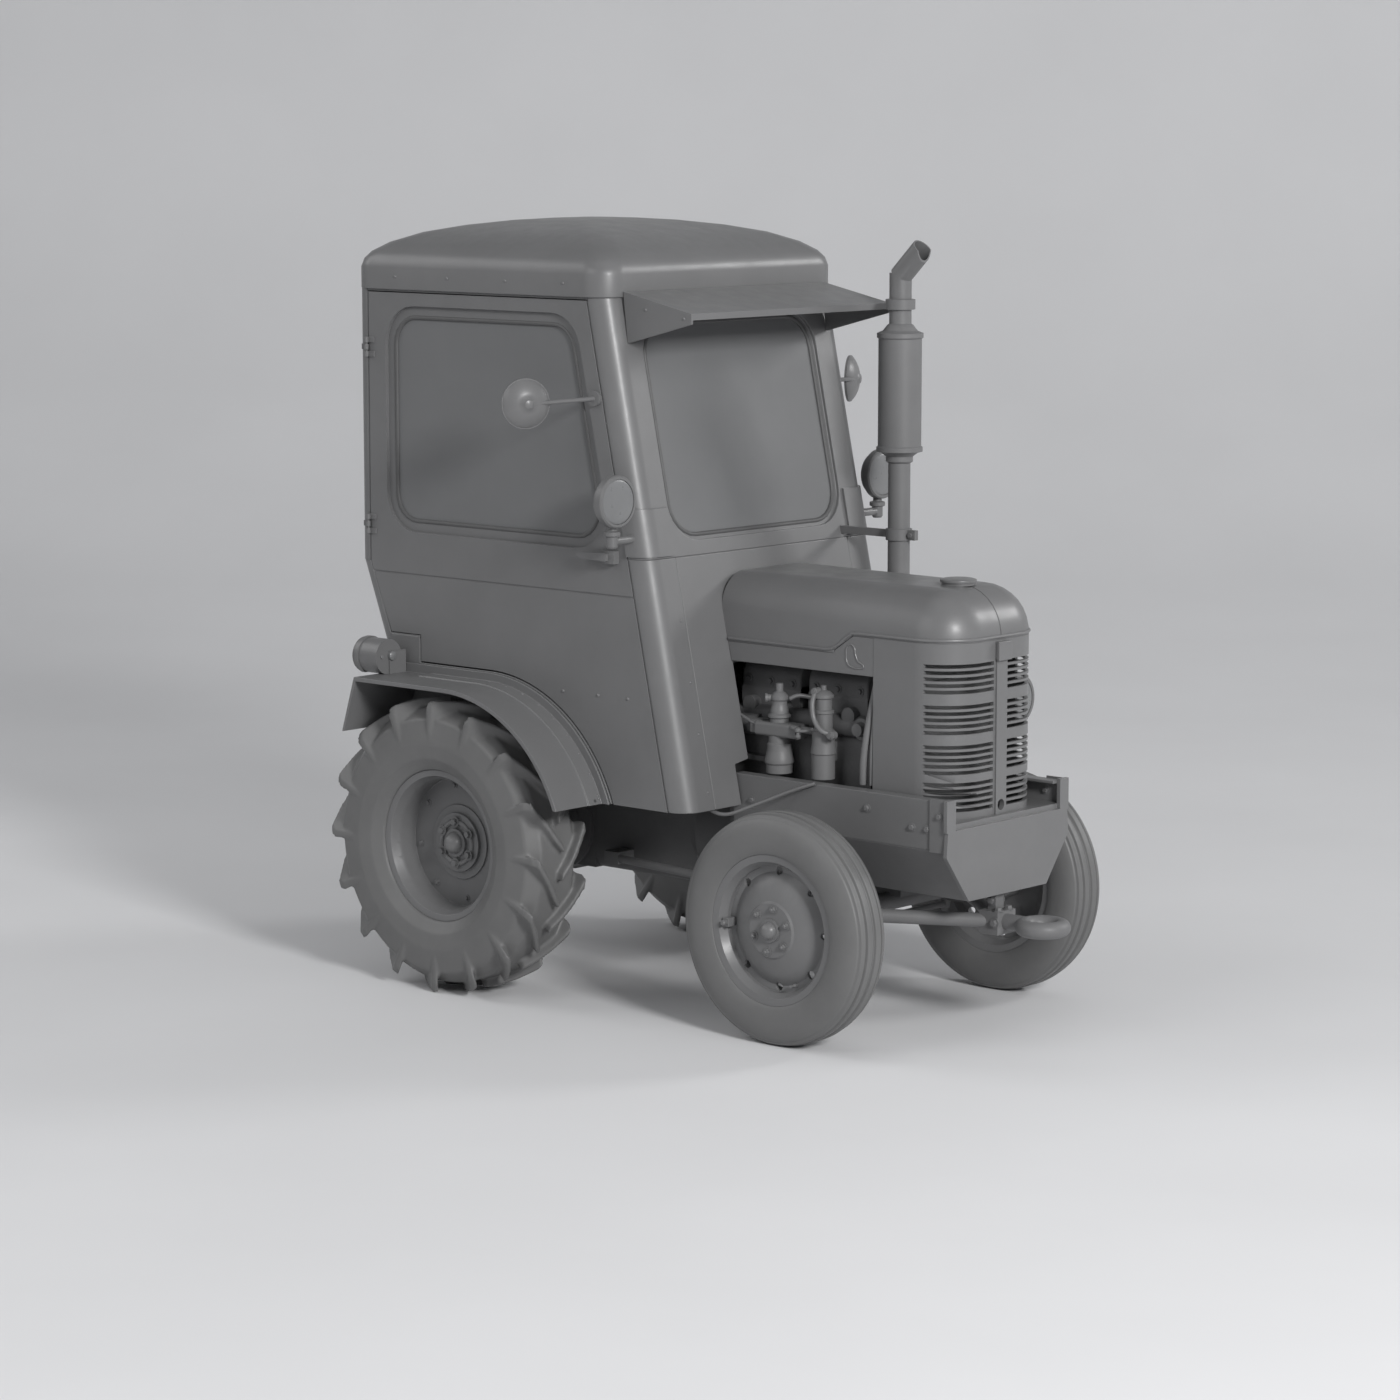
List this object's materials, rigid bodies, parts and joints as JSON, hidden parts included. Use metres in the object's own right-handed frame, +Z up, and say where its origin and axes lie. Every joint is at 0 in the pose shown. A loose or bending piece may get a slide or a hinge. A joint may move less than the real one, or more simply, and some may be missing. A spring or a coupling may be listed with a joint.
{
  "type": "farm tractor",
  "caption": "Small farm tractor with a closed box cab on small lugged wheels, rounded bonnet with slatted nose, open engine bay, side exhaust stack and front towing ring.",
  "frame": {"origin": "on the ground under the middle of the overall length, between the wheels", "axes": "+X forward, +Y to the driver's left, +Z up"},
  "size_m": [2.612, 1.7134, 2.476],
  "materials": {
    "rear_axle": "satin",
    "gearbox": "satin",
    "engine": "satin",
    "radiator": "satin",
    "pump_set": "satin",
    "frame_rails": "satin",
    "belly_pan": "satin",
    "front_plate": "satin",
    "axle_beam": "satin",
    "stay_rods": "satin",
    "tow_frame": "satin",
    "exhaust_stack": "satin",
    "hood": "satin",
    "hood_strips": "satin",
    "nose_cowl": "satin",
    "windscreen_frame": "satin",
    "windscreen": "gloss",
    "bulkhead": "satin",
    "corner_panels": "satin",
    "cab_rear": "satin",
    "cab_rear_lower": "satin",
    "rear_window": "gloss",
    "roof": "satin",
    "sun_visor": "satin",
    "cab_floor": "satin",
    "fender_right": "satin",
    "fender_left": "satin",
    "lamps": "satin",
    "lamp_lenses": "gloss",
    "seat": "satin",
    "steering_column": "satin",
    "controls": "satin",
    "drawbar": "satin",
    "steering_wheel": "matte",
    "knuckle_right": "satin",
    "knuckle_left": "satin",
    "tie_rod": "satin",
    "front_rim_right": "satin",
    "front_rim_left": "satin",
    "front_tyre_right": "matte",
    "front_tyre_left": "matte",
    "rear_rim_right": "satin",
    "rear_rim_left": "satin",
    "rear_tyre_right": "matte",
    "rear_tyre_left": "matte",
    "door_right": "satin",
    "door_left": "satin",
    "door_glass_right": "gloss",
    "door_glass_left": "gloss",
    "door_fittings_right": "satin",
    "door_fittings_left": "satin"
  },
  "bodies": {
    "chassis": {"rear_axle": "rear_axle", "gearbox": "gearbox", "engine": "engine", "radiator": "radiator", "pump_set": "pump_set", "frame_rails": "frame_rails", "belly_pan": "belly_pan", "front_plate": "front_plate", "axle_beam": "axle_beam", "stay_rods": "stay_rods", "tow_frame": "tow_frame", "exhaust_stack": "exhaust_stack", "hood": "hood", "hood_strips": "hood_strips", "nose_cowl": "nose_cowl", "windscreen_frame": "windscreen_frame", "windscreen": "windscreen", "bulkhead": "bulkhead", "corner_panels": "corner_panels", "cab_rear": "cab_rear", "cab_rear_lower": "cab_rear_lower", "rear_window": "rear_window", "roof": "roof", "sun_visor": "sun_visor", "cab_floor": "cab_floor", "fender_right": "fender_right", "fender_left": "fender_left", "lamps": "lamps", "lamp_lenses": "lamp_lenses", "seat": "seat", "steering_column": "steering_column", "controls": "controls", "drawbar": "drawbar"},
    "door_right": {"door_right": "door_right", "door_glass_right": "door_glass_right", "door_fittings_right": "door_fittings_right"},
    "door_left": {"door_left": "door_left", "door_glass_left": "door_glass_left", "door_fittings_left": "door_fittings_left"},
    "knuckle_right": {"knuckle_right": "knuckle_right"},
    "knuckle_left": {"knuckle_left": "knuckle_left"},
    "tie_rod": {"tie_rod": "tie_rod"},
    "steering_wheel": {"steering_wheel": "steering_wheel"},
    "front_wheel_right": {"front_rim_right": "front_rim_right", "front_tyre_right": "front_tyre_right"},
    "front_wheel_left": {"front_rim_left": "front_rim_left", "front_tyre_left": "front_tyre_left"},
    "rear_wheel_right": {"rear_rim_right": "rear_rim_right", "rear_tyre_right": "rear_tyre_right"},
    "rear_wheel_left": {"rear_rim_left": "rear_rim_left", "rear_tyre_left": "rear_tyre_left"}
  },
  "joints": [
    {"name": "rear_wheel_right_spin", "type": "hinge", "parent": "chassis", "child": "rear_wheel_right", "pos_m": [-0.666, -0.635, 0.48], "axis": [0, 1, 0], "continuous": true},
    {"name": "rear_wheel_left_spin", "type": "hinge", "parent": "chassis", "child": "rear_wheel_left", "pos_m": [-0.666, 0.635, 0.48], "axis": [0, 1, 0], "continuous": true},
    {"name": "steer_right", "type": "hinge", "parent": "chassis", "child": "knuckle_right", "pos_m": [0.644, -0.445, 0.36], "axis": [0, 0, 1], "range_deg": [-35, 35]},
    {"name": "steer_left", "type": "hinge", "parent": "chassis", "child": "knuckle_left", "pos_m": [0.644, 0.445, 0.36], "axis": [0, 0, 1], "range_deg": [-35, 35]},
    {"name": "front_wheel_right_spin", "type": "hinge", "parent": "knuckle_right", "child": "front_wheel_right", "pos_m": [0.644, -0.545, 0.36], "axis": [0, 1, 0], "continuous": true},
    {"name": "front_wheel_left_spin", "type": "hinge", "parent": "knuckle_left", "child": "front_wheel_left", "pos_m": [0.644, 0.545, 0.36], "axis": [0, 1, 0], "continuous": true},
    {"name": "tie_rod_pivot", "type": "hinge", "parent": "knuckle_right", "child": "tie_rod", "pos_m": [0.494, -0.445, 0.272], "axis": [0, 0, 1], "range_deg": [-35, 35]},
    {"name": "steering_wheel_turn", "type": "hinge", "parent": "chassis", "child": "steering_wheel", "pos_m": [-0.271, 0, 1.33], "axis": [-0.6428, 0, 0.766], "range_deg": [-280, 280]},
    {"name": "door_right_hinge", "type": "hinge", "parent": "chassis", "child": "door_right", "pos_m": [-1.133, -0.569, 1.5], "axis": [0, 0, -1], "range_deg": [0, 80]},
    {"name": "door_left_hinge", "type": "hinge", "parent": "chassis", "child": "door_left", "pos_m": [-1.133, 0.569, 1.5], "axis": [0, 0, 1], "range_deg": [0, 80]}
  ],
  "couplings": [
    {"joint": "steer_left", "follows": "steer_right", "ratio": 1},
    {"joint": "tie_rod_pivot", "follows": "steer_right", "ratio": -1},
    {"joint": "steering_wheel_turn", "follows": "steer_right", "ratio": 8}
  ]
}
